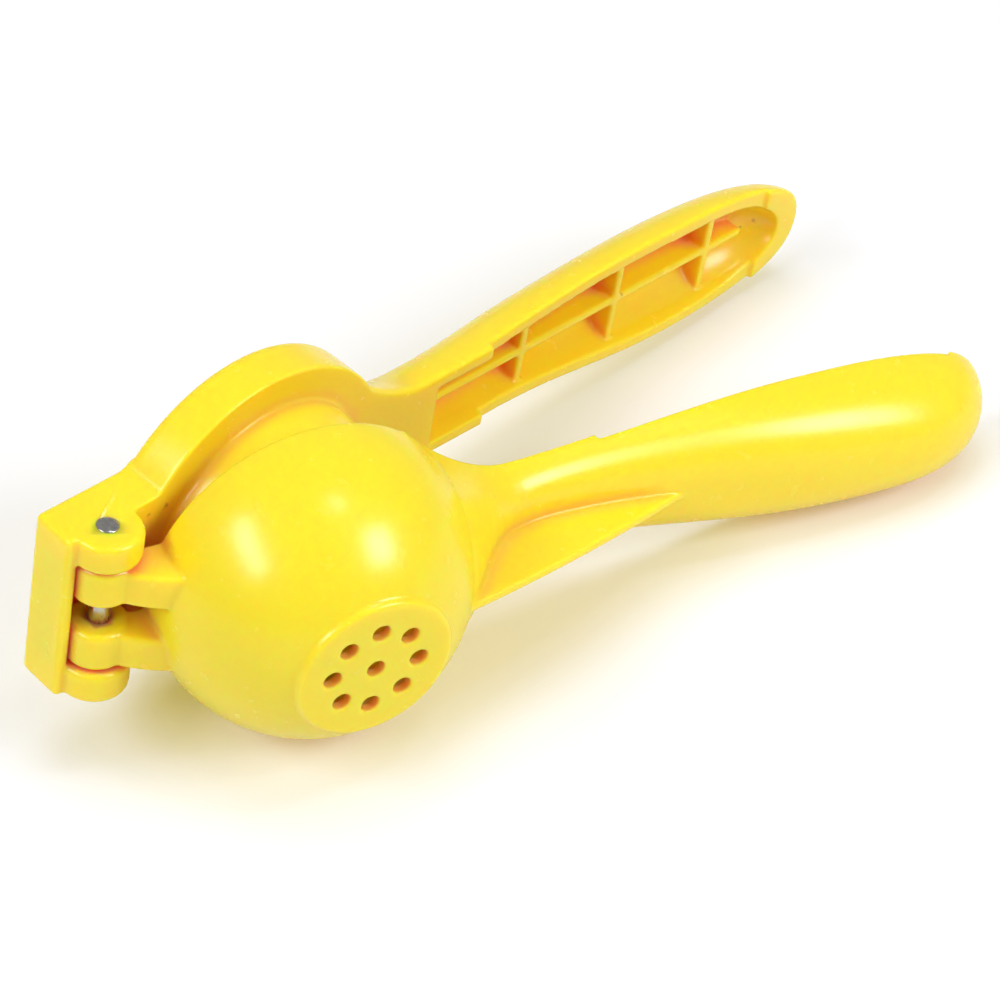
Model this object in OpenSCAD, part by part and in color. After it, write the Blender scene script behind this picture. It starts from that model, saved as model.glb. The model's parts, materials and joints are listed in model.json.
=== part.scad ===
// Hinged lemon squeezer: two moulded arms that turn on one steel pin.
// Each arm is drawn in a hinge frame: the pin lies along Z through the origin, the handles run along +X,
// the bowl opens towards +Y and the arms part on the plane Y = 0. at_rest() lays the tool on its side.

/* [Bowl] */
// Outer diameter of the bowl
bowl_d = 73; // [66:0.5:80]
// Thickness of the bowl's wall
bowl_wall = 3; // [2:0.25:4]
// Distance from the pin to the middle of the bowl
bowl_x = 46.2; // [44:0.2:56]
// Distance of the sphere's centre below the parting plane
bowl_drop = 5.5; // [3:0.25:8]
// Diameter of the raised strainer disc
strainer_d = 36.6; // [28:0.2:42]
// Distance from the parting plane to the face of the strainer disc
strainer_depth = 38.6; // [37:0.2:41]
// Thickness of the strainer's floor
strainer_floor = 3; // [2:0.25:4]
// Diameter of one juice hole
hole_d = 4.2; // [2.5:0.1:5]
// Radius of the circle that the juice holes lie on
hole_ring_r = 10.2; // [8:0.2:13]
// Number of juice holes round the middle one
hole_count = 8; // [5:1:10]

/* [Hinge] */
// Diameter of the steel pin
pin_d = 5; // [4:0.1:6]
// Height of the dome on each end of the pin
pin_dome = 0.45; // [0.2:0.05:1]
// Height of the hinge block, ear to ear
hinge_h = 44; // [40:0.5:52]
// Thickness of one ear
ear_t = 7.7; // [5:0.1:9]
// Radius of the ears round the pin
ear_r = 8; // [7:0.1:10]
// Thickness of one lug
lug_t = 10.1; // [6:0.1:11]
// Radius of the lugs round the pin
lug_r = 7; // [6:0.1:7.5]
// Depth of the lugs where they meet the bowl
lug_root_depth = 12.2; // [11:0.1:13]
// Side gap between a lug and its ear
side_gap = 0.3; // [0.2:0.05:0.5]
// Radial clearance of the pin in the lugs
lug_clearance = 0.05; // [0.02:0.01:0.1]
// Radial clearance of the pin in the ears
ear_clearance = 0.02; // [0.01:0.01:0.05]

/* [Press head] */
// Height of the hinge block and of the ring
press_h = 11.7; // [10:0.1:15]
// Diameter of the ring
ring_d = 75.6; // [70:0.2:84]
// Diameter of the pressing dome where it leaves the ring
dome_d = 59; // [54:0.5:61]
// Depth of the pressing dome below the parting plane
dome_depth = 28; // [22:0.5:29]
// Thickness of the dome's shell
dome_wall = 3; // [2:0.25:4]
// Distance from the pin to the outer face of the end plate
plate_x = 10.5; // [9.5:0.1:14]
// Thickness of the end plate and of the block's back wall
plate_t = 3; // [2:0.1:4]

/* [Handles] */
// Distance from the pin to the end of the bowl arm
bowl_arm_reach = 222.5; // [218:0.5:240]
// Distance from the pin to the end of the press arm
press_arm_reach = 226.5; // [218:0.5:240]
// Half of the width of the bowl arm's neck
bowl_arm_neck_w = 12.4; // [11:0.1:15]
// Half of the greatest width of the bowl arm's handle
bowl_arm_belly_w = 17.85; // [15:0.05:20]
// Distance from the pin to the widest place of the bowl arm's handle
bowl_arm_belly_x = 168; // [160:1:185]
// Half of the width of the press arm's neck
press_arm_neck_w = 11.8; // [10.5:0.1:14]
// Half of the greatest width of the press arm's handle
press_arm_belly_w = 16.5; // [15:0.1:19]
// Distance from the pin to the widest place of the press arm's handle
press_arm_belly_x = 180; // [170:1:190]
// Depth of the bowl arm at its neck
bowl_arm_neck_depth = 9.1; // [8:0.1:12]
// Depth of the bowl arm's palm swell
bowl_arm_belly_depth = 20.8; // [14:0.1:23]
// Distance from the pin to the deepest place of the bowl arm's palm swell
swell_x = 196; // [180:1:202]
// Depth of the press arm at its neck
press_arm_neck_depth = 14.6; // [12:0.1:17]
// Greatest depth of the press arm's handle
press_arm_belly_depth = 16.9; // [14:0.05:20]
// Rounding of a handle's rim edge
rim_round = 0.8; // [0.3:0.1:1.5]
// Thickness of the handle's wall at its rim
rim_t = 3.5; // [3:0.1:5]
// Thickness of a handle's floor
floor_t = 3; // [2:0.1:4]
// Thickness of a handle's wall at its end
end_t = 6.8; // [4:0.1:8]
// Half of the gap between the two rims when the tool is shut
seam = 0.25; // [0.15:0.05:0.5]
// Step down of the rim along the grip
grip_step = 1.25; // [0.5:0.05:2]
// Further hollowing of the press arm's rim in the middle of the grip
grip_bow = 1.3; // [0:0.1:2]
// Distance from the pin to the start of the grip's step
grip_start = 118.5; // [114:0.5:122]
// Distance from the pin to the end of the grip's step
grip_end = 213.5; // [205:0.5:216]

/* [Ribs] */
// Thickness of a rib
rib_t = 2.2; // [1.5:0.1:3]
// Spacing of the cross ribs
rib_pitch = 32; // [26:0.5:34]
// Distance from the pin to the first cross rib
rib_start = 134.2; // [130:0.1:138]
// Depth of the ribs' top edges below the rim
rib_drop = 2.9; // [1:0.1:4]
// Thickness of the gusset fin under the neck
fin_t = 2.4; // [1.5:0.1:4]
// Distance from the pin to the fin's far end
fin_end = 134; // [124:1:140]

/* [Pose] */
// Angle between the arms as the tool lies open
open_angle = 17.3; // [5:0.1:40]

/* [Hidden] */
$fn = 96;
yellow = "#f5df2e";
steel = "#b8bcc0";
bowl_r = bowl_d / 2;
bore_r = bowl_r - bowl_wall;
floor_y = -strainer_depth + strainer_floor;
ear_in = hinge_h / 2 - ear_t;
lug_out = ear_in - side_gap;
lug_in = lug_out - lug_t;
ring_r = ring_d / 2;
ring_x = bowl_x - 0.6;
edge = 1.2;
plate_lean = 0.8;
// Where the neck leaves the bowl or the ring, and how wide and deep it is there
root_x = bowl_x + 23.5;
root_w = sqrt(pow(bowl_r, 2) - pow(root_x - bowl_x, 2));
root_depth = root_w + bowl_drop - 3;
neck_x = bowl_x + 50;
neck_low_x = bowl_x + 76;
grip_x = 140;
// Exponents of the flare, of the drop below it, of a handle's end in plan and in depth, and of its section
flare = 1.75;
gusset = 4.3;
end_power = 2.7;
swell_power = 2.1;
back_power = 3.1;
section_power = 2.1;
station_step = 4;
section_steps = 18;
// The hollows along the inside of the two handles
bowl_arm_hollow_start = bowl_x + bowl_r + 4;
press_arm_hollow_start = 101;
rib_end = rib_start + 2 * rib_pitch + 12.5;
bow_x = 143;
bow_length = 45;
fin_bulge = 0.5;
fillet_r = 3;
back_edge = 2.5;
// Radius of the sphere of which the dome is a part, and the height of its centre
dome_r = (pow(dome_d / 2, 2) + pow(dome_depth, 2)) / (2 * dome_depth);
dome_y = dome_r - dome_depth;

// Smooth step from 0 to 1 between two places
function ease(x, x0, x1) = (1 - cos(180 * max(0, min(1, (x - x0) / (x1 - x0))))) / 2;

// Rounding factor of a handle's end: 1 up to x0, 0 at the reach
function tip(x, x0, reach, power) =
    x <= x0 ? 1 : pow(max(0, 1 - pow((x - x0) / (reach - x0), power)), 1 / power);

// Half of the width of a neck and its handle, measured across the rim
function half_width(x, neck_w, belly_w, swell_from, belly_x, reach) =
    (neck_w + (root_w - neck_w) * pow(max(0, neck_x - x) / (neck_x - root_x), flare)
    + (belly_w - neck_w) * ease(x, swell_from, belly_x))
    * tip(x, belly_x, reach, end_power);
function bowl_arm_width(x) =
    half_width(x, bowl_arm_neck_w, bowl_arm_belly_w, neck_x - 8, bowl_arm_belly_x, bowl_arm_reach);
function press_arm_width(x) =
    half_width(x, press_arm_neck_w, press_arm_belly_w, neck_x + 16, press_arm_belly_x, press_arm_reach);

// Depth of the bowl arm's neck and handle below the parting plane
function bowl_arm_level(x) =
    (bowl_arm_neck_depth + (bowl_arm_belly_depth - bowl_arm_neck_depth) * ease(x, neck_x + 8, swell_x)
    + (root_depth - bowl_arm_neck_depth) * pow(1 - ease(x, root_x, neck_low_x), gusset))
    * tip(x, swell_x, bowl_arm_reach, swell_power);

// Height of the press arm's neck and handle above the parting plane
function press_arm_level(x) =
    (press_h - 0.4
    + (press_arm_neck_depth - press_h + 0.4) * ease(x, root_x, neck_x - 3)
    + (press_arm_belly_depth - press_arm_neck_depth) * ease(x, neck_x + 4, grip_x))
    * tip(x, grip_x, press_arm_reach, back_power);

// Places along the handle where its section is set, closer together at the rounded tip
function stations(x0, belly_x, reach) = concat(
    [for (x = [x0 : station_step : belly_x - 1]) x],
    [for (a = [0 : 6 : 87]) belly_x + (reach - belly_x) * sin(a)]
);

// One D-shaped section: flat at y0 with its two corners cut back by r, round below it
function d_section(x, y0, w, d, r) = [
    [x, y0, w - r],
    for (i = [0 : section_steps])
        let (a = 180 * i / section_steps, c = cos(a))
            [
                x,
                y0 - max(r, d * pow(sin(a), 2 / section_power)),
                w * sign(c) * pow(abs(c), 2 / section_power)
            ],
    [x, y0, r - w]
];

// Sections of each arm's neck and handle, both drawn below the parting plane
function bowl_arm_rings() = [
    for (x = stations(root_x - 2, bowl_arm_belly_x, bowl_arm_reach))
        d_section(x, -seam, bowl_arm_width(x), bowl_arm_level(x) - seam, rim_round)
];
function press_arm_rings() = [
    for (x = stations(root_x - 4, press_arm_belly_x, press_arm_reach))
        d_section(x, -seam, press_arm_width(x), press_arm_level(x) - seam, rim_round)
];

// Solid through a list of sections that have the same number of points
module loft(rings) {
    n = len(rings[0]);
    m = len(rings);
    points = [for (r = rings) for (p = r) p];
    sides = [
        for (k = [0 : m - 2])
            for (i = [0 : n - 1])
                let (a = k * n + i, b = k * n + (i + 1) % n)
                    each [[a, b + n, b], [a, a + n, b + n]]
    ];
    caps = [
        [for (i = [0 : n - 1]) i],
        [for (i = [n - 1 : -1 : 0]) (m - 1) * n + i]
    ];
    polyhedron(points, concat(sides, caps));
}

// Rounding factor of the far end of a hollow that ends at x1
function hollow_tip(x, x1) = pow(1 - pow(max(0, (x - x1 + 40) / 40), 6), 0.45);

// Places along a hollow, closer together at its rounded far end
function hollow_stations(x0, x1) = concat(
    [for (i = [0 : 16]) x0 + (x1 - 24 - x0) * i / 16],
    [for (a = [12 : 6.5 : 84]) x1 - 24 + 24 * sin(a)]
);

// Profile of a flat disc with rounded edges, for turning
module rounded_profile(r, h) {
    square([r - edge, h]);
    translate([0, edge]) square([r, h - 2 * edge]);
    for (y = [edge, h - edge]) translate([r - edge, y]) circle(r = edge);
}

// Round knuckle about the pin from z0 to z1
module knuckle(r, z0, z1) {
    translate([0, 0, z0]) rotate_extrude() rounded_profile(r, z1 - z0);
}

// Turns its 2D child about the middle of a head; the child's Y is the arm's Y
module turned_at(x) {
    translate([x, 0, 0]) rotate([-90, 0, 0]) rotate_extrude() children();
}

// Hole for the pin through the whole hinge
module pin_bore(clearance) {
    cylinder(r = pin_d / 2 + clearance, h = hinge_h + 2, center = true);
}

// Outside of the bowl: a sphere cut off at the parting plane, with the raised strainer disc
module bowl_outside() {
    turned_at(bowl_x) {
        intersection() {
            translate([0, -bowl_drop]) circle(r = bowl_r);
            translate([0, -strainer_depth]) square([bowl_r + 1, strainer_depth - seam]);
        }
        translate([0, -strainer_depth]) rounded_profile(strainer_d / 2, 2 * edge + 2);
    }
}

// Inside of the bowl: a sphere with a flat floor over the strainer
module bowl_inside() {
    turned_at(bowl_x) intersection() {
        translate([0, -bowl_drop]) circle(r = bore_r);
        translate([0, floor_y]) square([bowl_r + 1, -floor_y + 1]);
    }
}

// The juice holes: one in the middle and a ring round it
module juice_holes() {
    translate([bowl_x, 1 - strainer_depth, 0]) rotate([-90, 0, 0]) {
        translate([0, 0, -2]) cylinder(d = hole_d, h = strainer_floor + 2);
        for (i = [0 : hole_count - 1])
            rotate([0, 0, 360 * i / hole_count + 90])
                translate([hole_ring_r, 0, -2]) cylinder(d = hole_d, h = strainer_floor + 2);
    }
}

// One lug of the bowl arm: a knuckle and the web that joins it to the bowl
module lug() {
    knuckle(lug_r, lug_in, lug_out);
    translate([0, 0, lug_in + edge / 2]) linear_extrude(lug_t - edge)
        polygon([
            [0, 0 - seam],
            [2, -sqrt(pow(lug_r, 2) - 4)],
            [bowl_x - bowl_r + 0.8, -lug_root_depth],
            [bowl_x - bowl_r + 8, -lug_root_depth - 0.6],
            [bowl_x - bowl_r + 8, -seam]
        ]);
}

// Fin under the bowl arm's neck: a thin plate with a slightly bowed lower edge
module fin() {
    x0 = root_x + 2;
    y0 = -root_depth + 0.7;
    y1 = -bowl_arm_level(fin_end);
    linear_extrude(fin_t, center = true)
        polygon(concat(
            [for (s = [0 : 0.1 : 1])
                [x0 + (fin_end - x0) * s, y0 + (y1 - y0) * s - 4 * fin_bulge * s * (1 - s)]],
            [[fin_end, -bowl_arm_neck_depth / 2], [x0, -bowl_arm_neck_depth / 2]]
        ));
}

// Cross ribs from number first on, and the long middle rib, that stand in the hollow of either handle
module ribs(first, x0) {
    top = seam + grip_step + rib_drop;
    depth = 40;
    for (i = [first : 2])
        translate([rib_start + i * rib_pitch - rib_t / 2, -depth, -bowl_arm_belly_w])
            cube([rib_t, depth - top, 2 * bowl_arm_belly_w]);
    translate([x0 - 1, -depth, -rib_t / 2]) cube([rib_end - x0 + 1, depth - top, rib_t]);
}

// Hollow of the bowl arm's neck and handle, with the ribs left standing in it
module bowl_arm_hollow() {
    x1 = bowl_arm_reach - end_t;
    difference() {
        loft([for (x = hollow_stations(bowl_arm_hollow_start, x1))
            d_section(
                x, 1, (bowl_arm_width(x) - rim_t) * hollow_tip(x, x1),
                1 + (bowl_arm_level(x) - floor_t) * hollow_tip(x, x1), 0.2
            )]);
        ribs(-1, bowl_arm_hollow_start);
    }
}

// Hollow of the press arm's handle, drawn below the parting plane
module press_arm_hollow() {
    x1 = press_arm_reach - end_t;
    difference() {
        loft([for (x = hollow_stations(press_arm_hollow_start, x1))
            d_section(
                x, 1, (press_arm_width(x) - rim_t) * hollow_tip(x, x1),
                1 + (press_arm_level(x) - floor_t) * hollow_tip(x, x1), 0.2
            )]);
        ribs(0, press_arm_hollow_start);
    }
}

// Step that lowers the rim along the grip by a further bow in its middle
module grip_cut(bow) {
    translate([0, 0, -bowl_arm_belly_w - 2]) linear_extrude(2 * bowl_arm_belly_w + 4)
        polygon(concat(
            [[grip_end, 2], [grip_start, 2]],
            [for (t = [0 : 0.05 : 1])
                let (x = grip_start + (grip_end - grip_start) * t)
                    [x, -seam - grip_step - bow * (1 - ease(abs(x - bow_x), 0, bow_length))]]
        ));
}

// Bowl arm: lugs, bowl with strainer, neck with fin, and handle, in one piece
module bowl_arm() {
    color(yellow) at_rest() difference() {
        union() {
            bowl_outside();
            loft(bowl_arm_rings());
            fin();
            for (side = [0, 1]) mirror([0, 0, side]) lug();
        }
        bowl_inside();
        juice_holes();
        bowl_arm_hollow();
        grip_cut(0);
        pin_bore(lug_clearance);
    }
}

// Hinge block: end plate, back wall and two ears round a channel for the lugs
module hinge_block() {
    difference() {
        union() {
            translate([0, 0, -hinge_h / 2]) linear_extrude(hinge_h)
                polygon([[-plate_x, 0], [ring_x, 0], [ring_x, press_h], [plate_lean - plate_x, press_h]]);
            for (side = [0, 1]) mirror([0, 0, side]) {
                knuckle(ear_r, ear_in, hinge_h / 2);
                deck_fillet();
            }
        }
        translate([plate_t - plate_x, -ear_r - 1, -ear_in])
            cube([ring_x + plate_x, press_h - plate_t + ear_r + 1, 2 * ear_in]);
    }
}

// Concave fillet between the deck of the hinge block and the ring
module deck_fillet() {
    deck = hinge_h / 2;
    far = sqrt(pow(ring_r + fillet_r, 2) - pow(deck + fillet_r, 2));
    k = ring_r / (ring_r + fillet_r);
    translate([0, press_h, 0]) rotate([90, 0, 0]) linear_extrude(press_h - seam) difference() {
        polygon([
            [ring_x - far, deck - 1],
            [ring_x - far, deck],
            [ring_x - far * k, (deck + fillet_r) * k],
            [ring_x - far * k + 2, deck - 1]
        ]);
        translate([ring_x - far, deck + fillet_r]) circle(r = fillet_r);
    }
}

// Ring and dome of the press arm, filled
module head_outside() {
    turned_at(ring_x) {
        translate([0, seam]) square([ring_r, press_h - seam - back_edge]);
        translate([0, seam]) square([ring_r - back_edge, press_h - seam]);
        translate([ring_r - back_edge, press_h - back_edge]) circle(r = back_edge);
        intersection() {
            translate([0, dome_y]) circle(r = dome_r);
            translate([0, -dome_depth]) square([dome_r, dome_depth + 2 * seam]);
        }
    }
}

// Hollow in the back of the dome
module head_hollow() {
    turned_at(ring_x) {
        intersection() {
            translate([0, dome_y]) circle(r = dome_r - dome_wall);
            translate([0, -dome_depth]) square([dome_r, dome_depth + seam + 1]);
        }
        translate([0, seam]) square([dome_d / 2 - dome_wall, press_h]);
    }
}

// Press arm: hinge block, ring with dome, neck and handle, in one piece
module press_arm() {
    color(yellow) at_rest() rotate([0, 0, open_angle]) difference() {
        union() {
            difference() {
                hinge_block();
                turned_at(ring_x) translate([0, -1]) square([ring_r - 1, press_h + 2]);
            }
            head_outside();
            mirror([0, 1, 0])
                loft(press_arm_rings());
        }
        head_hollow();
        mirror([0, 1, 0]) {
            press_arm_hollow();
            grip_cut(grip_bow);
        }
        pin_bore(ear_clearance);
    }
}

// Hinge pin: a steel rod with slightly domed ends
module hinge_pin() {
    r = pin_d / 2;
    dome_radius = (pow(r, 2) + pow(pin_dome, 2)) / (2 * pin_dome);
    color(steel) at_rest() rotate([0, 0, open_angle]) {
        cylinder(r = r, h = hinge_h, center = true);
        for (side = [0, 1]) mirror([0, 0, side]) intersection() {
            cylinder(r = r, h = hinge_h);
            translate([0, 0, hinge_h / 2 + pin_dome - dome_radius]) sphere(r = dome_radius);
        }
    }
}

// The tool lies on three points: the bowl, the ring and the rim of the bowl arm's handle.
// Each function gives the lowest point of one of them when u points straight up in the hinge frame.
function bowl_foot(u) = [bowl_x, -bowl_drop, 0] - bowl_r * u;
function ring_foot(u) =
    let (
        across = [u.x * cos(open_angle) + u.y * sin(open_angle), u.z],
        k = ring_r / norm(across),
        x = ring_x - k * across.x
    )
        turned([x, seam, -k * across.y]);
function handle_foot(u) =
    let (
        rim = [
            for (x = [bowl_arm_belly_x - 20 : 0.5 : grip_end])
                [x, -seam - grip_step, -bowl_arm_width(x)]
        ],
        heights = [for (p = rim) p * u]
    )
        rim[search(min(heights), heights)[0]];

// Direction that is square to the plane through the three feet, found by repeating the guess u
function level(u, times) =
    times == 0 ? u :
    let (a = bowl_foot(u), n = cross(handle_foot(u) - a, ring_foot(u) - a))
        level(n / norm(n), times - 1);

lie_up = level([0, 0, 1], 6);
lie_tilt = asin(-lie_up.x);
lie_lean = atan2(lie_up.y, lie_up.z);
lie_height = -(bowl_foot(lie_up) * lie_up);

// The table's own X and Y directions, seen in the hinge frame
lie_x = [cos(lie_tilt), sin(lie_tilt) * sin(lie_lean), sin(lie_tilt) * cos(lie_lean)];
lie_y = [0, cos(lie_lean), -sin(lie_lean)];

// A point of the press arm after the arm has turned open
function turned(p) = [
    p.x * cos(open_angle) - p.y * sin(open_angle),
    p.x * sin(open_angle) + p.y * cos(open_angle),
    p.z
];

// Middle of the box round the tool: from the end plate and the strainer to the ends of the handles
handle_points = concat(
    [for (ring = bowl_arm_rings()) each ring],
    [for (ring = press_arm_rings()) for (p = ring) turned([p.x, -p.y, p.z])]
);
near_x = min([for (k = [0, 1]) turned([k * plate_lean - plate_x, k * press_h, -hinge_h / 2]) * lie_x]);
far_x = max([for (p = handle_points) p * lie_x]);
near_y = [0, -strainer_depth, (strainer_d - edge) / 2] * lie_y;
far_y = max([for (p = handle_points) p * lie_y]);
centre_x = (near_x + far_x) / 2;
centre_y = (near_y + far_y) / 2;

// Lays the hinge frame down as the tool rests on a table, with its box centred on the origin
module at_rest() {
    translate([-centre_x, -centre_y, lie_height]) rotate([lie_lean, lie_tilt, 0]) children();
}

bowl_arm();
press_arm();
hinge_pin();
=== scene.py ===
# %% [markdown]
# # A hinged lemon squeezer in glossy yellow plastic
#
# The tool has three pieces: a bowl arm, a press arm and the steel pin that both turn on.
# Each arm is one injection moulding. A moulding is never a pile of separate blocks: its walls
# flow into each other through small fillets, and that soft look is what this lesson is about.
# The plan is to model each arm roughly as a maker would cut its mould, from balls, discs and
# drawn-out handles, then melt those solids into one skin, and lay the finished arms on the table.

# %% Load the frame
import json
import math

import bmesh
import bpy
from mathutils import Matrix, Vector


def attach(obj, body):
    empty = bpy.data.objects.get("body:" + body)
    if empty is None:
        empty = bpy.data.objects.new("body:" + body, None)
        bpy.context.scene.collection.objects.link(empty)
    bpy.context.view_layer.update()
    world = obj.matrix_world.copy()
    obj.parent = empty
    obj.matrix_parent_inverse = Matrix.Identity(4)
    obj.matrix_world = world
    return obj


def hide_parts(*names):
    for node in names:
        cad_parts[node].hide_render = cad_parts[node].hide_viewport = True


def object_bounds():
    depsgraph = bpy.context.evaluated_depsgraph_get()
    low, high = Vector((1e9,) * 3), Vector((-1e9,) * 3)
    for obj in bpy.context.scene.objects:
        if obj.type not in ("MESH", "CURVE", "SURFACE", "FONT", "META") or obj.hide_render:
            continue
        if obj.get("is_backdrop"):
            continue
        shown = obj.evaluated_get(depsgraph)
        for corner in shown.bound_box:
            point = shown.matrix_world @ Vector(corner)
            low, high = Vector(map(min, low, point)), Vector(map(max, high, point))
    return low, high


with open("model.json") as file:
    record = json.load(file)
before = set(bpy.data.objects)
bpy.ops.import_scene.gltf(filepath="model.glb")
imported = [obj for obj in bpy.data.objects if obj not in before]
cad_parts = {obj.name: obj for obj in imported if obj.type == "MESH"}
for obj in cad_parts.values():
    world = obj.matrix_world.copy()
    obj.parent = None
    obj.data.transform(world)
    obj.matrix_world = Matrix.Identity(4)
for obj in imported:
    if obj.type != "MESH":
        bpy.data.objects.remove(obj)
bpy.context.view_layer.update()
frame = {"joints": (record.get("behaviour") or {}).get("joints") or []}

# %% [markdown]
# ## The camera
#
# The tool lies on a table and is seen from above its bowl, from nearly a metre away through a
# long lens, so that the far handle looks hardly smaller than the near one. A camera is only an
# object with a place, a turn and a lens, and all three are set here before anything is modelled,
# because every later look is judged through it.

# %% Camera
bpy.ops.object.select_all(action="DESELECT")
bpy.ops.object.camera_add(
    location=(-0.33438, -0.61786, 0.66065),
    rotation=[math.radians(a) for a in (47.3086, -0.1076, -28.5565)],
)
camera = bpy.context.object
camera.name = "camera"
camera.data.sensor_width = 36
camera.data.lens = 151.79
bpy.context.scene.camera = camera
print("camera with a lens of", camera.data.lens, "mm")

# %% [markdown]
# ## Working by hand, in code
#
# Everything below is drawn in millimetres in the hinge's own frame: the pin stands along Z at
# the origin, the handles run along X, the bowl opens towards +Y and the arms part at Y = 0.
# A modeller with a mouse selects, then acts. The helpers below do the same: `pick` selects whole
# objects, `choose` goes into edit mode and selects by place, and `combine` adds one solid
# to another or cuts it away with a Boolean modifier that is applied at once.

# %% Helpers for selecting
def pick(*things):
    """Leaves edit mode and selects only these objects; the first one is active."""
    if bpy.context.mode != "OBJECT":
        bpy.ops.object.mode_set(mode="OBJECT")
    bpy.ops.object.select_all(action="DESELECT")
    for thing in things:
        thing.select_set(True)
    if things:
        bpy.context.view_layer.objects.active = things[0]


def choose(thing, kind, test):
    """Goes into edit mode and selects the parts whose middle passes the test."""
    pick(thing)
    bpy.ops.object.mode_set(mode="EDIT")
    bpy.ops.mesh.select_mode(type=kind)
    bpy.ops.mesh.select_all(action="DESELECT")
    mesh = bmesh.from_edit_mesh(thing.data)
    for part in {"VERT": mesh.verts, "EDGE": mesh.edges, "FACE": mesh.faces}[kind]:
        if kind == "VERT":
            middle = part.co
        elif kind == "EDGE":
            middle = (part.verts[0].co + part.verts[1].co) / 2
        else:
            middle = part.calc_center_median()
        if test(middle):
            part.select_set(True)
    bmesh.update_edit_mesh(thing.data)


def named(name):
    """Puts the new primitive's place and turn into its mesh and names it."""
    thing = bpy.context.object
    bpy.ops.object.transform_apply(location=True, rotation=True, scale=True)
    thing.name = thing.data.name = name
    return thing

# %% Helpers for solids
QUARTER = math.pi / 2


def combine(body, tool, how):
    """Joins the tool to the body (UNION) or cuts it away (DIFFERENCE), and removes the tool."""
    pick(body)
    bpy.ops.object.modifier_add(type="BOOLEAN")
    cut = body.modifiers[-1]
    cut.operation = how
    cut.solver = "MANIFOLD"
    cut.object = tool
    bpy.ops.object.modifier_apply(modifier=cut.name)
    bpy.data.objects.remove(tool)


def slice_off(thing, place, away):
    """Cuts the solid with a plane, drops the side that `away` points to, and closes the cut."""
    pick(thing)
    bpy.ops.object.mode_set(mode="EDIT")
    bpy.ops.mesh.select_all(action="SELECT")
    bpy.ops.mesh.bisect(plane_co=place, plane_no=away, use_fill=True, clear_outer=True)
    bpy.ops.mesh.select_all(action="SELECT")
    bpy.ops.mesh.normals_make_consistent(inside=False)
    pick(thing)


def block(name, low, high):
    """A closed box between two corners."""
    pick()
    size = [b - a for a, b in zip(low, high)]
    middle = [(a + b) / 2 for a, b in zip(low, high)]
    bpy.ops.mesh.primitive_cube_add(size=1, location=middle, scale=size)
    return named(name)


def post(name, radius, place, z0, z1, corners=96):
    """A round post along Z, such as a knuckle or a drill."""
    pick()
    bpy.ops.mesh.primitive_cylinder_add(
        vertices=corners, radius=radius, depth=z1 - z0, location=(place[0], place[1], (z0 + z1) / 2)
    )
    return named(name)


def disc(name, radius, place, y0, y1, corners=160):
    """A round disc along Y, such as the ring or the strainer."""
    pick()
    bpy.ops.mesh.primitive_cylinder_add(
        vertices=corners, radius=radius, depth=y1 - y0,
        location=(place[0], (y0 + y1) / 2, place[1]), rotation=(QUARTER, 0, 0),
    )
    return named(name)


def round_edges(thing, width, test, steps=5):
    """Bevels the edges that pass the test."""
    choose(thing, "EDGE", test)
    bpy.ops.mesh.bevel(offset=width, segments=steps, affect="EDGES", clamp_overlap=True)
    pick(thing)


print("helpers ready")

# %% [markdown]
# ## The outline of a handle
#
# Both handles are channels with a D-shaped section: flat on the inside, round on the palm side.
# Only two things change along the arm, how wide the D is and how deep it is. Each is written as
# a small function of x, the distance from the pin. `ease` swells smoothly between two places,
# and `tip` closes the end like a fingertip. One could also bend a curve by eye, but numbers keep
# the two arms and the joint between them in step.

# %% Widths and depths along the arms
BOWL_X, RING_X = 46.2, 45.6          # middles of the bowl and of the ring
BOWL_REACH, PRESS_REACH = 222.5, 226.5
SEAM = 0.25                          # half of the gap between the shut arms
WALL = 3.0                           # wall of the bowl, the dome and the hinge block
HEAD_HALF = 27.9                     # half width of a neck where it meets the head
FLARE_END, FLARE_LENGTH = 96.2, 26.5


def ease(x, x0, x1):
    """0 before x0, 1 after x1, and a smooth swell between them."""
    return (1 - math.cos(math.pi * max(0, min(1, (x - x0) / (x1 - x0))))) / 2


def tip(x, x0, reach, power):
    """1 up to x0, then closes to 0 at the reach as a rounded end."""
    return 1 if x <= x0 else max(0, 1 - ((x - x0) / (reach - x0)) ** power) ** (1 / power)


def half_width(x, neck, belly, x0, x1, reach):
    """Flares out to the head before FLARE_END, and swells from the neck to the belly after it."""
    flare = (HEAD_HALF - neck) * (max(0, FLARE_END - x) / FLARE_LENGTH) ** 1.75
    return (neck + flare + (belly - neck) * ease(x, x0, x1)) * tip(x, x1, reach, 2.7)


def bowl_width(x):
    return half_width(x, 12.4, 17.85, 88.2, 168, BOWL_REACH)


def press_width(x):
    return half_width(x, 11.8, 16.5, 112.2, 180, PRESS_REACH)


def bowl_depth(x):
    root = 21.3 * (1 - ease(x, 69.7, 122.2)) ** 4.3
    return (9.1 + 11.7 * ease(x, 104.2, 196) + root) * tip(x, 196, BOWL_REACH, 2.1)


def press_depth(x):
    neck = 3.3 * ease(x, 69.7, 93.2) + 2.3 * ease(x, 100.2, 140)
    return (11.3 + neck) * tip(x, 140, PRESS_REACH, 3.1)


for x in (80, 100, 140, 180, 215):
    print(f"x {x}: bowl arm {2 * bowl_width(x):.1f} x {bowl_depth(x):.1f}, "
          f"press arm {2 * press_width(x):.1f} x {press_depth(x):.1f} mm")

# %% [markdown]
# ## The step along the grip
#
# Along the grip the rim stands 1.25 mm lower than at the neck and at the tip, so that two shut
# handles leave a slot that cannot pinch the palm. The press arm's rim is bowed further in the
# middle. The height of the rim is one more function of x. It could also be milled off the
# finished handle, but then the new edges would have to be rounded once more.

# %% Height of the rim
GRIP_START, GRIP_END, GRIP_STEP = 118.5, 213.5, 1.25


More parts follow.
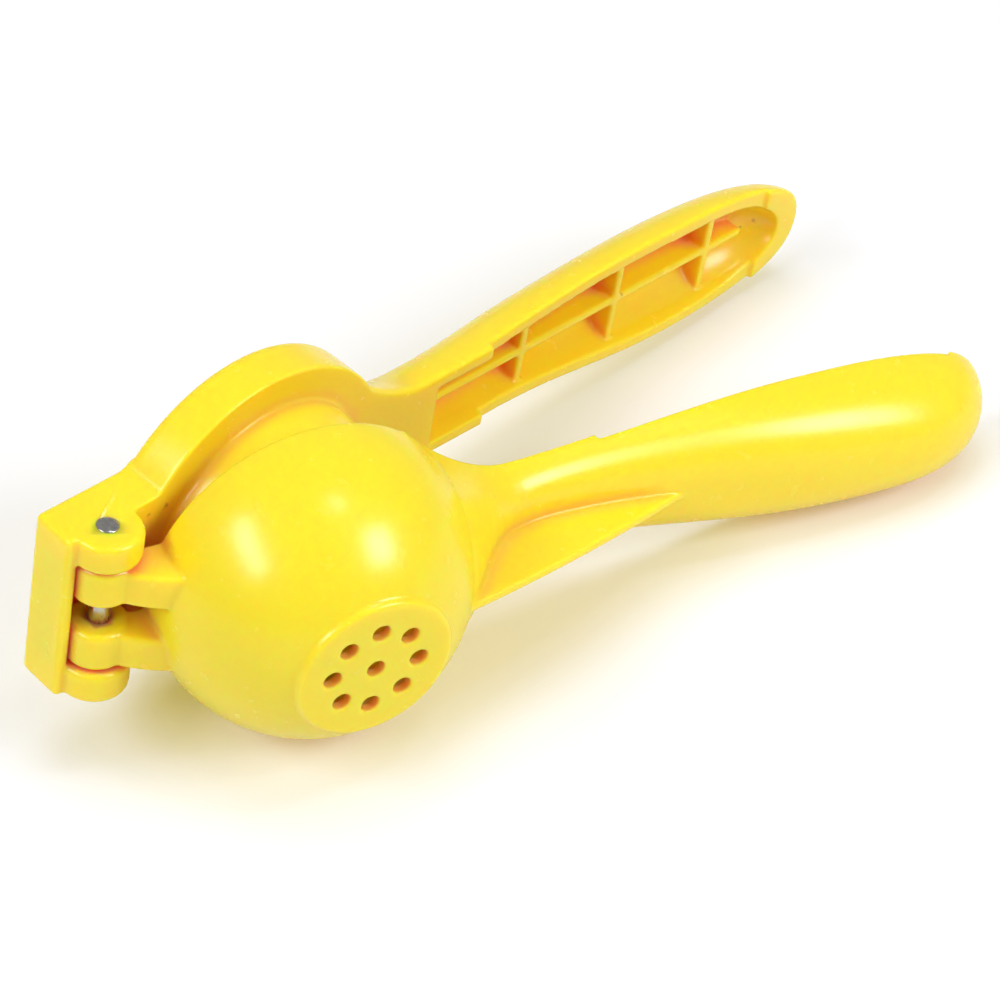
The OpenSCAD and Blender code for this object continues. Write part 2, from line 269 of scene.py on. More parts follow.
def rim_level(x, bow):
    """Distance of the rim from the parting plane."""
    if x <= GRIP_START or x >= GRIP_END:
        return SEAM
    return SEAM + GRIP_STEP + bow * (1 - ease(abs(x - 143), 0, 45))


print("rim levels at 100, 143 and 200:", [round(rim_level(x, 1.3), 2) for x in (100, 143, 200)])

# %% [markdown]
# ## Drawing a handle out of a disc
#
# A handle starts as one flat round face. Half of it is bisected away, which leaves the D, and the
# D is then extruded station by station along X. At each step it is resized about the middle of
# its flat side and lifted or lowered to the rim's height there. The steps get shorter towards the
# tip, where the shape changes fast. The same tool draws the hollow that is cut out of the handle.

# %% The extruding helper
def stations(x0, x1, reach, step=3.0, close=4):
    """Places along the arm: even up to x1, then closer and closer, with the grip's two steps."""
    places = [x0 + step * i for i in range(int((x1 - x0) / step))]
    places += [x1 + (reach - x1) * math.sin(math.radians(a)) for a in range(0, 89, close)]
    for edge in (GRIP_START, GRIP_END):
        places = [x for x in places if abs(x - edge) > 0.8] + [edge - 0.1, edge + 0.1]
    return sorted(places)


def draw_out(name, places, width_at, depth_at, level_at, way):
    """Extrudes a D from place to place; `way` is -1 for a body below its flat side, 1 above it."""
    pick()
    x, y = places[0], way * level_at(places[0])
    bpy.ops.mesh.primitive_circle_add(
        vertices=96, radius=1, fill_type="NGON", location=(x, y, 0), rotation=(0, QUARTER, 0)
    )
    body = named(name)
    bpy.ops.object.mode_set(mode="EDIT")
    bpy.ops.mesh.select_all(action="SELECT")
    bpy.ops.mesh.bisect(plane_co=(x, y, 0), plane_no=(0, -way, 0), clear_outer=True, use_fill=False)
    # a palm handle is a little squarer than a circle: its two shoulders are pushed out
    choose(body, "VERT", lambda p: 0.38 < abs(p.y - y) < 0.92)
    bpy.ops.transform.resize(value=(1, 1.012, 1.012), center_override=(x, y, 0))
    wide, deep = width_at(x), depth_at(x) - level_at(x)
    bpy.ops.mesh.select_mode(type="FACE")
    bpy.ops.mesh.select_all(action="SELECT")
    bpy.ops.transform.resize(value=(1, deep, wide), center_override=(x, y, 0))
    for there in places[1:]:
        level = way * level_at(there)
        onward = {"value": (there - x, level - y, 0)}
        bpy.ops.mesh.extrude_region_move(TRANSFORM_OT_translate=onward)
        w, d = max(0.3, width_at(there)), max(0.3, depth_at(there) - level_at(there))
        bpy.ops.transform.resize(value=(1, d / deep, w / wide), center_override=(there, level, 0))
        x, y, wide, deep = there, level, w, d
    bpy.ops.mesh.select_all(action="SELECT")
    bpy.ops.mesh.normals_make_consistent(inside=False)
    pick(body)
    print(name, "drawn out over", len(places), "stations,", len(body.data.polygons), "faces")
    return body

# %% [markdown]
# ## Softening the rim
#
# The long edges of a moulded rim are rounded, more at the slim neck than at the tip. A Bevel
# modifier can vary its width along an edge: each edge carries a bevel weight between 0 and 1.
# The weights are written from the place of the edge, and the modifier is applied.

# %% The rim helper
def soften_rim(body, width_at, level_at, way, radius_at, most):
    """Rounds the two long rim edges by radius_at(x)."""
    pick(body)
    bpy.ops.object.mode_set(mode="EDIT")
    mesh = bmesh.from_edit_mesh(body.data)
    weight = mesh.edges.layers.float.new("bevel_weight_edge")
    for edge in mesh.edges:
        a, b = edge.verts[0].co, edge.verts[1].co
        x = (a.x + b.x) / 2
        flat = all(abs(p.y - way * level_at(p.x)) < 0.01 for p in (a, b))
        along = abs(a.x - b.x) > 0.25 and abs(abs(a.z + b.z) / 2 - width_at(x)) < 0.5
        edge[weight] = radius_at(x) / most if flat and along else 0
    bmesh.update_edit_mesh(body.data)
    pick(body)
    bpy.ops.object.modifier_add(type="BEVEL")
    soft = body.modifiers[-1]
    soft.limit_method = "WEIGHT"
    soft.width = most
    soft.segments = 4
    soft.use_clamp_overlap = False
    bpy.ops.object.modifier_apply(modifier=soft.name)
    print(body.name, "rim softened,", len(body.data.polygons), "faces")

# %% [markdown]
# ## The bowl
#
# Outside, the bowl is a ball of 73 mm, cut flat at the parting plane, with a raised strainer disc
# on its lowest point. A UV sphere whose poles lie on the bowl's own axis gives clean rings right
# up to the cut. The disc is a cylinder whose outer edge is bevelled to the radius that catches
# the light as a thin bright ring.

# %% The ball and the strainer disc
BOWL_R, BOWL_Y = 36.5, -5.5
STRAINER_R, STRAINER_Y = 18.3, -38.6


def ball(name, radius, place, cut_y):
    """A sphere with its poles along Y, kept below cut_y."""
    pick()
    bpy.ops.mesh.primitive_uv_sphere_add(
        segments=160, ring_count=80, radius=radius, location=place, rotation=(QUARTER, 0, 0)
    )
    thing = named(name)
    slice_off(thing, (0, cut_y, 0), (0, 1, 0))
    return thing


bowl_arm = ball("bowl_arm_moulding", BOWL_R, (BOWL_X, BOWL_Y, 0), -SEAM)
slice_off(bowl_arm, (0, STRAINER_Y, 0), (0, -1, 0))
round_edges(bowl_arm, 0.8, lambda p: p.y > -SEAM - 0.1 and math.hypot(p.x - BOWL_X, p.z) > BOWL_R - 1.5)
strainer = disc("strainer_disc", STRAINER_R, (BOWL_X, 0), STRAINER_Y, STRAINER_Y + 4.4)
round_edges(strainer, 1.2, lambda p: p.y < STRAINER_Y + 0.1 and math.hypot(p.x - BOWL_X, p.z) > 18)
combine(bowl_arm, strainer, "UNION")
print("ball and disc:", len(bowl_arm.data.polygons), "faces")

# %% [markdown]
# ## Neck, handle and fin of the bowl arm
#
# The neck grows out of the ball as wide as the ball itself, narrows, and swells again to the
# palm. Under it stands a thin gusset fin, flat on both sides, that carries the load from the
# handle into the bowl. The fin starts as a box that is subdivided along its length; its lower
# edge is then moved down point by point onto a shallow bow.

# %% Neck and handle
bowl_handle = draw_out(
    "bowl_arm_handle", stations(67.7, 168, BOWL_REACH), bowl_width, bowl_depth,
    lambda x: rim_level(x, 0), -1,
)

# %% [markdown]
# The neck is not quite a D: its flanks lean inwards and turn into the underside over a soft
# ridge, which fades out into the round palm. The flanks also have to run on smoothly past the
# two steps of the rim. So every vertex keeps its height, and its distance from the middle plane
# is set from that height: a rounded trapezoid at the neck, nearly a D at the palm.

# %% Flanks of a handle
def shape_flanks(body, width_at, depth_at, slim_at):
    """Sets each vertex's distance from the middle plane; slim_at(x) is 1 for a trapezoid, 0 for a D."""
    pick(body)
    bpy.ops.object.mode_set(mode="EDIT")
    mesh = bmesh.from_edit_mesh(body.data)
    for vert in mesh.verts:
        x = vert.co.x
        power, lean = 2.15 + 0.85 * slim_at(x), 0.04 + 0.2 * slim_at(x)
        down = (abs(vert.co.y) - SEAM) / max(0.3, depth_at(x) - SEAM)
        down = max(0, min(1, down))
        wide = max(0.3, width_at(x)) * (1 - down ** power) ** (1 / power) * (1 - lean * down)
        vert.co.z = math.copysign(wide, vert.co.z)
    bmesh.update_edit_mesh(body.data)
    pick(body)


shape_flanks(
    bowl_handle, bowl_width, bowl_depth, lambda x: ease(x, 78, 100) * (1 - ease(x, 128, 190))
)
print("flanks shaped on", len(bowl_handle.data.vertices), "vertices")

# %% Rounded rim, and the handle joined to the ball
soften_rim(
    bowl_handle, bowl_width, lambda x: rim_level(x, 0), -1,
    lambda x: 1.0 + 0.7 * (1 - ease(x, 100, 122)), 1.7,
)
combine(bowl_arm, bowl_handle, "UNION")

# %% Fin
FIN_START, FIN_END, FIN_T = 71.7, 137.0, 2.4
FIN_ROOT_Y, FIN_BULGE, FIN_CUTS = -29.7, 4.5, 23
fin = block("fin", (FIN_START, -7, -FIN_T / 2), (FIN_END, -5, FIN_T / 2))
choose(fin, "EDGE", lambda p: abs(p.x - (FIN_START + FIN_END) / 2) < 1)
bpy.ops.mesh.subdivide(number_cuts=FIN_CUTS)
drop = -bowl_depth(FIN_END) - FIN_ROOT_Y
for i in range(FIN_CUTS + 2):
    s = i / (FIN_CUTS + 1)
    x = FIN_START + (FIN_END - FIN_START) * s
    choose(fin, "VERT", lambda p: abs(p.x - x) < 0.1 and p.y < -6.5)
    down = FIN_ROOT_Y + drop * s - FIN_BULGE * s * (1 - s) + 7
    bpy.ops.transform.translate(value=(0, down, 0))
round_edges(
    fin, 0.7,
    lambda p: p.y < -7.5 and abs(abs(p.z) - FIN_T / 2) < 0.01 and p.x < FIN_END - 0.5, steps=3,
)
combine(bowl_arm, fin, "UNION")
print("fin added:", len(bowl_arm.data.polygons), "faces")

# %% [markdown]
# ## The lugs
#
# Two lugs reach from the bowl to the pin. Each is a round knuckle and a web that widens into the
# ball. The web starts as a box that is subdivided along its length; its lower side is pulled down
# onto a curve, and its two long lower edges are bevelled, so that the lug reads as one thick
# rounded finger. The curve leaves a small notch behind the knuckle, into which the press arm's end
# plate swings when the tool is wide open.

# %% One lug, mirrored for the other side
LUG_LOW, LUG_HIGH, LUG_R = 3.9, 14.0, 7.0
WEB_LENGTH, WEB_INSET = 18, 0.6


def lug(side):
    """A knuckle about the pin and its web, above (1) or below (-1) the middle."""
    low, high = sorted((side * LUG_LOW, side * LUG_HIGH))
    knuckle = post("knuckle", LUG_R, (0, 0), low, high)
    round_edges(
        knuckle, 1.6,
        lambda p: math.hypot(p.x, p.y) > LUG_R - 0.1 and min(abs(p.z - low), abs(p.z - high)) < 0.1,
    )
    web_low, web_high = low + WEB_INSET, high - WEB_INSET
    web = block("web", (0, -6, web_low), (WEB_LENGTH, -SEAM, web_high))
    choose(web, "EDGE", lambda p: abs(p.x - WEB_LENGTH / 2) < 0.1)
    bpy.ops.mesh.subdivide(number_cuts=8)
    for k in range(10):
        x = WEB_LENGTH * k / 9
        choose(web, "VERT", lambda p: abs(p.x - x) < 0.1 and p.y < -5)
        bpy.ops.transform.translate(value=(0, 0.8 - 8.1 * (1 - (1 - x / WEB_LENGTH) ** 2), 0))
    choose(web, "EDGE", lambda p: (
        0.1 < p.x < WEB_LENGTH - 0.1 and p.y < -6 and min(abs(p.z - web_low), abs(p.z - web_high)) < 0.1
    ))
    bpy.ops.mesh.bevel(offset=1.7, segments=5, affect="EDGES", clamp_overlap=True)
    combine(knuckle, web, "UNION")
    return knuckle


for side in (1, -1):
    combine(bowl_arm, lug(side), "UNION")
print("lugs added:", len(bowl_arm.data.polygons), "faces")

# %% [markdown]
# ## Hollowing the bowl arm
#
# A mould core does what a cutter does here. The bowl's core is a smaller ball with a flat end over
# the strainer, the juice holes are nine round pins, and the handle's core is a second drawn-out D
# with the ribs left standing in it. Ribs are cut out of the core before the core is cut out of
# the handle, which is exactly how the steel of such a mould is made.

# %% Bowl core and juice holes
HOLE_R, HOLE_RING_R = 2.1, 10.2
core = ball("bowl_core", BOWL_R - WALL, (BOWL_X, BOWL_Y, 0), 2)
slice_off(core, (0, STRAINER_Y + WALL, 0), (0, -1, 0))
combine(bowl_arm, core, "DIFFERENCE")
places = [(0, 0)]
for i in range(8):
    turn = math.radians(45 * i + 90)
    places.append((HOLE_RING_R * math.cos(turn), HOLE_RING_R * math.sin(turn)))
for dx, dz in places:
    combine(bowl_arm, disc("hole", HOLE_R, (BOWL_X + dx, dz), -40, -34, corners=48), "DIFFERENCE")
print(len(places), "juice holes")

# %% Handle core with its ribs
RIB_T, RIB_STEP, RIB_FIRST, RIB_TOP = 2.2, 32.0, 134.2, 4.4
SIDE_WALL, TIP_WALL = 3.5, 6.8


def closing(x, end):
    """Rounds off the far end of a hollow."""
    return max(0, 1 - max(0, (x - end + 40) / 40) ** 6) ** 0.45


def hollow(name, start, end, width_at, depth_at, way, first):
    """The core of a handle's channel, with the long rib and the cross ribs left out of it."""
    places = [start + (end - 24 - start) * i / 30 for i in range(30)]
    places += [end - 24 + 24 * math.sin(math.radians(a)) for a in range(0, 87, 6)]
    core = draw_out(
        name, places,
        lambda x: (width_at(x) - SIDE_WALL) * closing(x, end),
        lambda x: (depth_at(x) - WALL) * closing(x, end), lambda x: -1, way,
    )
    near, far = sorted((way * RIB_TOP, way * 40))
    rib_end = RIB_FIRST + 2 * RIB_STEP + 12.5
    long_rib = block("long_rib", (start - 2, near, -RIB_T / 2), (rib_end, far, RIB_T / 2))
    combine(core, long_rib, "DIFFERENCE")
    for i in range(first, 3):
        x = RIB_FIRST + RIB_STEP * i
        cross_rib = block("cross_rib", (x - RIB_T / 2, near, -20), (x + RIB_T / 2, far, 20))
        combine(core, cross_rib, "DIFFERENCE")
    return core


bowl_handle_core = hollow(
    "bowl_handle_core", 86.7, BOWL_REACH - TIP_WALL, bowl_width, bowl_depth, -1, -1
)
combine(bowl_arm, bowl_handle_core, "DIFFERENCE")
print("hollow bowl arm:", len(bowl_arm.data.polygons), "faces")

# %% [markdown]
# ## Melting the solids into one moulding
#
# So far the arm is a solid with knife-sharp seams. A voxel remesh rebuilds its skin as an even net
# of small quads, a few passes of the Smooth modifier melt every edge and corner into a small
# fillet, and Decimate takes out the faces that the flats do not need. A Bevel modifier would be
# the other way, but it fails where a ball, a fin and a handle meet in one corner.

# %% The melting helper
NET, PASSES, MOST_TRIANGLES = 0.4, 8, 190000


def melt(body):
    """Rebuilds the skin, smooths it and thins it to at most so many triangles."""
    pick(body)
    bpy.ops.object.modifier_add(type="REMESH")
    net = body.modifiers[-1]
    net.mode = "VOXEL"
    net.voxel_size = NET
    bpy.ops.object.modifier_apply(modifier=net.name)
    made = len(body.data.polygons)
    bpy.ops.object.modifier_add(type="SMOOTH")
    soft = body.modifiers[-1]
    soft.factor = 0.5
    soft.iterations = PASSES
    bpy.ops.object.modifier_apply(modifier=soft.name)
    bpy.ops.object.modifier_add(type="DECIMATE")
    thin = body.modifiers[-1]
    thin.ratio = min(1, MOST_TRIANGLES / (2 * made))
    bpy.ops.object.modifier_apply(modifier=thin.name)
    print(body.name, "melted:", made, "quads, then", len(body.data.polygons), "faces")


melt(bowl_arm)

# %% [markdown]
# ## The pin's bore
#
# The bores are cut after the melting, because a drilled or cored pin hole stays crisp: the steel
# sits in it without a visible gap.

# %% Bore of the bowl arm
PIN_R = 2.5
combine(bowl_arm, post("bore", PIN_R + 0.05, (0, 0), -23, 23, 64), "DIFFERENCE")
print("bore cut:", len(bowl_arm.data.polygons), "faces")

# %% [markdown]
# ## The press arm
#
# It is drawn shut, like the bowl arm, and turned open at the end. Its head is a flat ring that
# carries the pressing dome, and the hinge block is an open box: an end plate, a back wall and two
# thick sides with round ears on the pin. Concave fillets lead the sides into the ring.

# %% Hinge block
EAR_LOW, EAR_HIGH, EAR_R, EAR_DROP = 14.3, 22.0, 8.0, 0.5
DECK_Y, PLATE_X, PLATE_DRAFT = 11.7, -10.5, 0.8
press_arm = block("press_arm_moulding", (PLATE_X, SEAM, -EAR_HIGH), (RING_X, DECK_Y, EAR_HIGH))
choose(press_arm, "VERT", lambda p: p.x < 0 and p.y > 5)
bpy.ops.transform.translate(value=(PLATE_DRAFT, 0, 0))
round_edges(press_arm, 1.2, lambda p: p.x < 40 and (p.y > 1 or p.x < -9))
for side in (1, -1):
    low, high = sorted((side * EAR_LOW, side * EAR_HIGH))
    # the lower ear stands a little proud of the block
    ear = post("ear", EAR_R, (0, 0), low - EAR_DROP * (side < 0), high)
    round_edges(
        ear, 1.6,
        lambda p: math.hypot(p.x, p.y) > EAR_R - 0.1 and min(abs(p.z - low), abs(p.z - high)) < 0.6,
    )
    combine(press_arm, ear, "UNION")
channel = block("channel", (PLATE_X + WALL, -9, -EAR_LOW), (RING_X + 3, DECK_Y - WALL, EAR_LOW))
combine(press_arm, channel, "DIFFERENCE")
print("hinge block:", len(press_arm.data.polygons), "faces")

# %% Ring, fillets and dome
RING_R, FILLET_R = 37.8, 3
DOME_RIM_R, DOME_DEEP = 29.5, 28
combine(press_arm, disc("ring_room", RING_R - 1, (RING_X, 0), -1, 13), "DIFFERENCE")
# a fillet's arc touches the block's side and the ring, so its middle is one radius off both
arc_r, arc_z = RING_R + FILLET_R, EAR_HIGH + FILLET_R
arc_x = RING_X - math.sqrt(arc_r ** 2 - arc_z ** 2)
touch = RING_R / arc_r
for side in (1, -1):
    low, high = sorted((side * (EAR_HIGH - 1), side * arc_z * touch))
    fillet = block("deck_fillet", (arc_x, SEAM, low), (RING_X - (RING_X - arc_x) * touch + 2, DECK_Y, high))
    cutter = disc("fillet_cutter", FILLET_R, (arc_x, side * arc_z), -1, 13, corners=64)
    combine(fillet, cutter, "DIFFERENCE")
    round_edges(
        fillet, 1.6,
        lambda p: p.y > DECK_Y - 0.1 and math.hypot(p.x - arc_x, p.z - side * arc_z) < FILLET_R + 0.1,
    )
    combine(press_arm, fillet, "UNION")
ring = disc("ring", RING_R, (RING_X, 0), SEAM, DECK_Y)
round_edges(ring, 2.5, lambda p: p.y > DECK_Y - 0.1, steps=7)
combine(press_arm, ring, "UNION")
DOME_R = (DOME_RIM_R ** 2 + DOME_DEEP ** 2) / (2 * DOME_DEEP)
combine(press_arm, ball("dome", DOME_R, (RING_X, DOME_R - DOME_DEEP, 0), 0.5), "UNION")
print("head:", len(press_arm.data.polygons), "faces")

# %% Neck and handle of the press arm
press_handle = draw_out(
    "press_arm_handle", stations(65.7, 180, PRESS_REACH), press_width, press_depth,
    lambda x: rim_level(x, 1.3), 1,
)
shape_flanks(press_handle, press_width, press_depth, lambda x: 0.3)
soften_rim(
    press_handle, press_width, lambda x: rim_level(x, 1.3), 1,
    lambda x: 0.9 + 0.6 * (1 - ease(x, 96, 118)), 1.5,
)
combine(press_arm, press_handle, "UNION")
dome_back = ball("dome_back", DOME_R - WALL, (RING_X, DOME_R - DOME_DEEP, 0), 1.5)
combine(press_arm, dome_back, "DIFFERENCE")
combine(press_arm, disc("back_opening", DOME_RIM_R - WALL, (RING_X, 0), SEAM, 14), "DIFFERENCE")
press_handle_core = hollow(
    "press_handle_core", 101, PRESS_REACH - TIP_WALL, press_width, press_depth, 1, 0
)
combine(press_arm, press_handle_core, "DIFFERENCE")
melt(press_arm)
combine(press_arm, post("bore", PIN_R + 0.02, (0, 0), -24, 24, 64), "DIFFERENCE")
print("press arm:", len(press_arm.data.polygons), "faces")

# %% [markdown]
# ## The pin
#
# A plain steel rod, 5 mm thick, with softly domed ends that stand just proud of the ears. It
# starts as a cylinder; each end face is inset and pushed out in small steps to make the dome.

# %% Pin
pin = post("hinge_pin_steel", PIN_R, (0, 0), -EAR_HIGH, EAR_HIGH, corners=64)
for side in (1, -1):
    for ring_r, rise in ((2.35, 0.10), (2.1, 0.11), (1.7, 0.11), (1.1, 0.08), (0.5, 0.04)):
        choose(pin, "FACE", lambda p: side * p.z > EAR_HIGH - 0.1 and math.hypot(p.x, p.y) < 0.05)
        bpy.ops.mesh.inset(thickness=0.0001)
        mesh = bmesh.from_edit_mesh(pin.data)
        now = max(math.hypot(v.co.x, v.co.y) for v in mesh.verts if v.select)
        z = next(v.co.z for v in mesh.verts if v.select)
        bpy.ops.transform.resize(value=(ring_r / now, ring_r / now, 1), center_override=(0, 0, z))
        bpy.ops.transform.translate(value=(0, 0, side * rise))
pick(pin)
print("pin:", len(pin.data.polygons), "faces, length", round(pin.dimensions.z, 2), "mm")

# %% [markdown]
# ## Laying the tool on the table
#
# The frame's joint record tells where the pin is and which way it points as the tool rests on the
# bowl, the ring and the lower handle's rim. That is all that is needed: the pin's direction is the
# hinge frame's Z, and X is square to it without any sideways part. The press arm and the pin are
# first turned open about the pin.

# %% Into the resting pose
joint = frame["joints"][0]
up = Vector(joint["axis"]).normalized()
along = Vector((up.z, 0, -up.x)).normalized()
across = up.cross(along)
turned = Matrix((along, across, up)).transposed().to_4x4()
lie = Matrix.Translation(joint["pos_m"]) @ turned @ Matrix.Scale(0.001, 4)
OPEN = Matrix.Rotation(math.radians(17.3), 4, "Z")


def lay_down(thing, turn):
    """Moves the finished mesh into its place and shades it smooth; the object stays at the origin."""
    pick(thing)
    thing.matrix_world = lie @ turn
    bpy.ops.object.transform_apply(location=True, rotation=True, scale=True)
    bpy.ops.object.shade_smooth()
    low = [min(v.co[k] for v in thing.data.vertices) * 1000 for k in range(3)]
    print(thing.name, "rests with its lowest corner at", [round(v, 2) for v in low], "mm")


lay_down(bowl_arm, Matrix.Identity(4))
lay_down(press_arm, OPEN)
lay_down(pin, OPEN)

# %% [markdown]
# ## Lemon-yellow plastic
#
# The two arms are moulded in the same polypropylene, coloured right through. Light enters it and
# comes out a little further on, red further than yellow, so the surface is soft and even, and the
# narrow places turn orange. The colour is therefore all in the subsurface part, and where walls
# stand close together an occlusion node paints orange shade into the base colour. A slow 4D noise
# shifts the tone by a hair, as in every moulding, a finer one breaks up the gloss, and the finest
# gives the faint texture of the mould. The press arm also has five small dark marks where it came
# off the mould: each is the distance from a place on the resting tool, frayed by noise.

# %% Plastic
LEMON, PALE_LEMON = (1.0, 0.705, 0.018, 1), (1.0, 0.735, 0.026, 1)
# the orange is painted shade for narrow places; the brown is the mould marks' own colour
PAINTED_SHADE_ORANGE, MARK_BROWN = (1.0, 0.30, 0.13, 1), (0.20, 0.12, 0.02, 1)
MARK_PLACES = (                      # place in metres and radius
    ((0.1012, 0.0516, 0.0183), 0.0009),
    ((0.0981, 0.0525, 0.0170), 0.0005),
    ((0.0555, 0.0362, 0.0246), 0.0008),
    ((-0.0887, -0.0150, 0.0595), 0.0009),
    ((-0.0841, -0.0135, 0.0588), 0.0011),
)


def noise(nodes, links, spot, scale, detail):
    """A noise texture on the piece's own coordinates."""
    field = nodes.new("ShaderNodeTexNoise")
    field.inputs["Scale"].default_value = scale
    field.inputs["Detail"].default_value = detail
    links.new(spot.outputs["Object"], field.inputs["Vector"])
    return field


def fitted(nodes, links, value, low, high, to_low, to_high):
    """The value brought from the range low..high to the range to_low..to_high."""
    fit = nodes.new("ShaderNodeMapRange")
    fit.inputs["From Min"].default_value = low
    fit.inputs["From Max"].default_value = high
    fit.inputs["To Min"].default_value = to_low
    fit.inputs["To Max"].default_value = to_high
    links.new(value, fit.inputs["Value"])
    return fit.outputs["Result"]


def mixed(nodes, links, factor, first, second):
    """A colour mix; each side is either a colour or another node's output."""
    mix = nodes.new("ShaderNodeMix")
    mix.data_type = "RGBA"
    links.new(factor, mix.inputs["Factor"])
    for name, side in (("A", first), ("B", second)):
        if isinstance(side, tuple):
            mix.inputs[name].default_value = side
        else:
            links.new(side, mix.inputs[name])
    return mix.outputs["Result"]


def plastic(name, seed, marks):
    """Lemon-yellow moulding plastic with painted orange shade in narrow places; marks are (place, radius)
    of small dark mould marks.
    """
    material = bpy.data.materials.new(name)
    material.use_nodes = True
    nodes, links = material.node_tree.nodes, material.node_tree.links
    skin = nodes["Principled BSDF"]
    skin.inputs["IOR"].default_value = 1.5
    skin.inputs["Subsurface Weight"].default_value = 1
    skin.inputs["Subsurface Radius"].default_value = (1.0, 0.32, 0.05)
    skin.inputs["Subsurface Scale"].default_value = 0.005
    spot = nodes.new("ShaderNodeTexCoord")

    flow = noise(nodes, links, spot, 22, 3)
    flow.noise_dimensions = "4D"
    flow.inputs["W"].default_value = seed
    colour = mixed(nodes, links, flow.outputs["Fac"], LEMON, PALE_LEMON)

    for number, (place, radius) in enumerate(marks):
        fray = noise(nodes, links, spot, 700 + 90 * number, 2)
        gap = nodes.new("ShaderNodeVectorMath")
        gap.operation = "DISTANCE"
        gap.inputs[1].default_value = place
        links.new(spot.outputs["Object"], gap.inputs[0])
        edge = nodes.new("ShaderNodeMath")
        edge.operation = "MULTIPLY_ADD"
        edge.inputs[1].default_value = radius * 2.4
        links.new(fray.outputs["Fac"], edge.inputs[0])
        links.new(gap.outputs["Value"], edge.inputs[2])
        stain = fitted(nodes, links, edge.outputs["Value"], radius * 1.1, radius * 2, 0.6, 0)
        colour = mixed(nodes, links, stain, colour, MARK_BROWN)

    # painted shade: where walls stand close, the occlusion node mixes the base colour towards orange
    near = nodes.new("ShaderNodeAmbientOcclusion")
    near.samples = 8
    near.inputs["Distance"].default_value = 0.0065
    painted_shade_mask = fitted(nodes, links, near.outputs["AO"], 0.35, 0.83, 0, 1)
    colour = mixed(nodes, links, painted_shade_mask, PAINTED_SHADE_ORANGE, colour)
    links.new(colour, skin.inputs["Base Color"])

    grain = noise(nodes, links, spot, 260, 4)
    gloss = fitted(nodes, links, grain.outputs["Fac"], 0, 1, 0.22, 0.30)
    links.new(gloss, skin.inputs["Roughness"])
    bump = nodes.new("ShaderNodeBump")
    bump.inputs["Strength"].default_value = 0.12
    bump.inputs["Distance"].default_value = 0.00004
    links.new(noise(nodes, links, spot, 1400, 2).outputs["Fac"], bump.inputs["Height"])
    links.new(bump.outputs["Normal"], skin.inputs["Normal"])
    print(name, "has", len(nodes), "nodes")
    return material


bowl_arm.data.materials.clear()
bowl_arm.data.materials.append(plastic("lemon_plastic_bowl_arm", 1.3, ()))
press_arm.data.materials.clear()
press_arm.data.materials.append(plastic("lemon_plastic_press_arm", 4.1, MARK_PLACES))

# %% [markdown]
# ## Steel for the pin
#
# Cut rod with a tumbled end: a bright grey metal with fine turning scratches round its axis and a
# slightly uneven roughness. It is smooth enough that the edge of its domed end catches one sharp
# glint of the lamp.

# %% Steel
steel = bpy.data.materials.new("pin_steel")
steel.use_nodes = True
nodes, links = steel.node_tree.nodes, steel.node_tree.links
metal = nodes["Principled BSDF"]
metal.inputs["Metallic"].default_value = 1
spot = nodes.new("ShaderNodeTexCoord")
stretch = nodes.new("ShaderNodeMapping")
stretch.inputs["Scale"].default_value = (1, 1, 0.15)
links.new(spot.outputs["Object"], stretch.inputs["Vector"])
scratches = noise(nodes, links, spot, 900, 5)
links.new(stretch.outputs["Vector"], scratches.inputs["Vector"])
wear = scratches.outputs["Fac"]
links.new(fitted(nodes, links, wear, 0.3, 0.7, 0.14, 0.34), metal.inputs["Roughness"])
DARK_STEEL, BRIGHT_STEEL = (0.34, 0.33, 0.31, 1), (0.68, 0.66, 0.63, 1)
shade = mixed(nodes, links, wear, DARK_STEEL, BRIGHT_STEEL)
links.new(shade, metal.inputs["Base Color"])
dents = nodes.new("ShaderNodeBump")
dents.inputs["Strength"].default_value = 0.3
dents.inputs["Distance"].default_value = 0.00005
links.new(wear, dents.inputs["Height"])
links.new(dents.outputs["Normal"], metal.inputs["Normal"])
pin.data.materials.clear()
pin.data.materials.append(steel)
print("steel ready")

# %% [markdown]
# ## Table
#
# A pale table that shows white wherever no shadow falls, so its material adds a little glow for
# the camera only; the shadow itself stays. The tool throws its own warm yellow light on the cloth,
# so the shadow is warm too, and part of that warmth is painted: the glow that fills the shadow is
# yellow, and the cloth is a touch cooler to the camera to stay white in the open.

# %% Table
pick()
bpy.ops.mesh.primitive_plane_add(size=8, location=(0, 0, 0))
table = named("table")
cloth = bpy.data.materials.new("white_table")
cloth.use_nodes = True
nodes, links = cloth.node_tree.nodes, cloth.node_tree.links
nodes.clear()
seen = nodes.new("ShaderNodeLightPath")
by_camera = seen.outputs["Is Camera Ray"]
matte = nodes.new("ShaderNodeBsdfDiffuse")
tint = mixed(nodes, links, by_camera, (0.80, 0.80, 0.80, 1), (0.66, 0.70, 0.92, 1))
links.new(tint, matte.inputs["Color"])
# painted warm shade: the yellow of this camera-only glow tints the table's shadow like bounce light
white_and_painted_warm_glow = nodes.new("ShaderNodeEmission")
white_and_painted_warm_glow.inputs["Color"].default_value = (1, 0.84, 0, 1)
links.new(fitted(nodes, links, by_camera, 0, 1, 0, 0.27), white_and_painted_warm_glow.inputs["Strength"])
both = nodes.new("ShaderNodeAddShader")
links.new(matte.outputs["BSDF"], both.inputs[0])
links.new(white_and_painted_warm_glow.outputs["Emission"], both.inputs[1])
out = nodes.new("ShaderNodeOutputMaterial")
links.new(both.outputs["Shader"], out.inputs["Surface"])
table.data.materials.append(cloth)
table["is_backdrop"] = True

# %% [markdown]
# ## Light
#
# A white room gives the even light. Three soft boxes give the highlights: a long one at the left,
# whose reflection is the long patch on the ball, one at the right that draws the streak along the
# handle, and a small one overhead. A box is set by the directions of its two ends, since those are
# the directions that the ends of a highlight mirror. A large sheet overhead makes the soft shadow
# under the tool, and is kept out of the gloss so that it adds no highlight of its own.

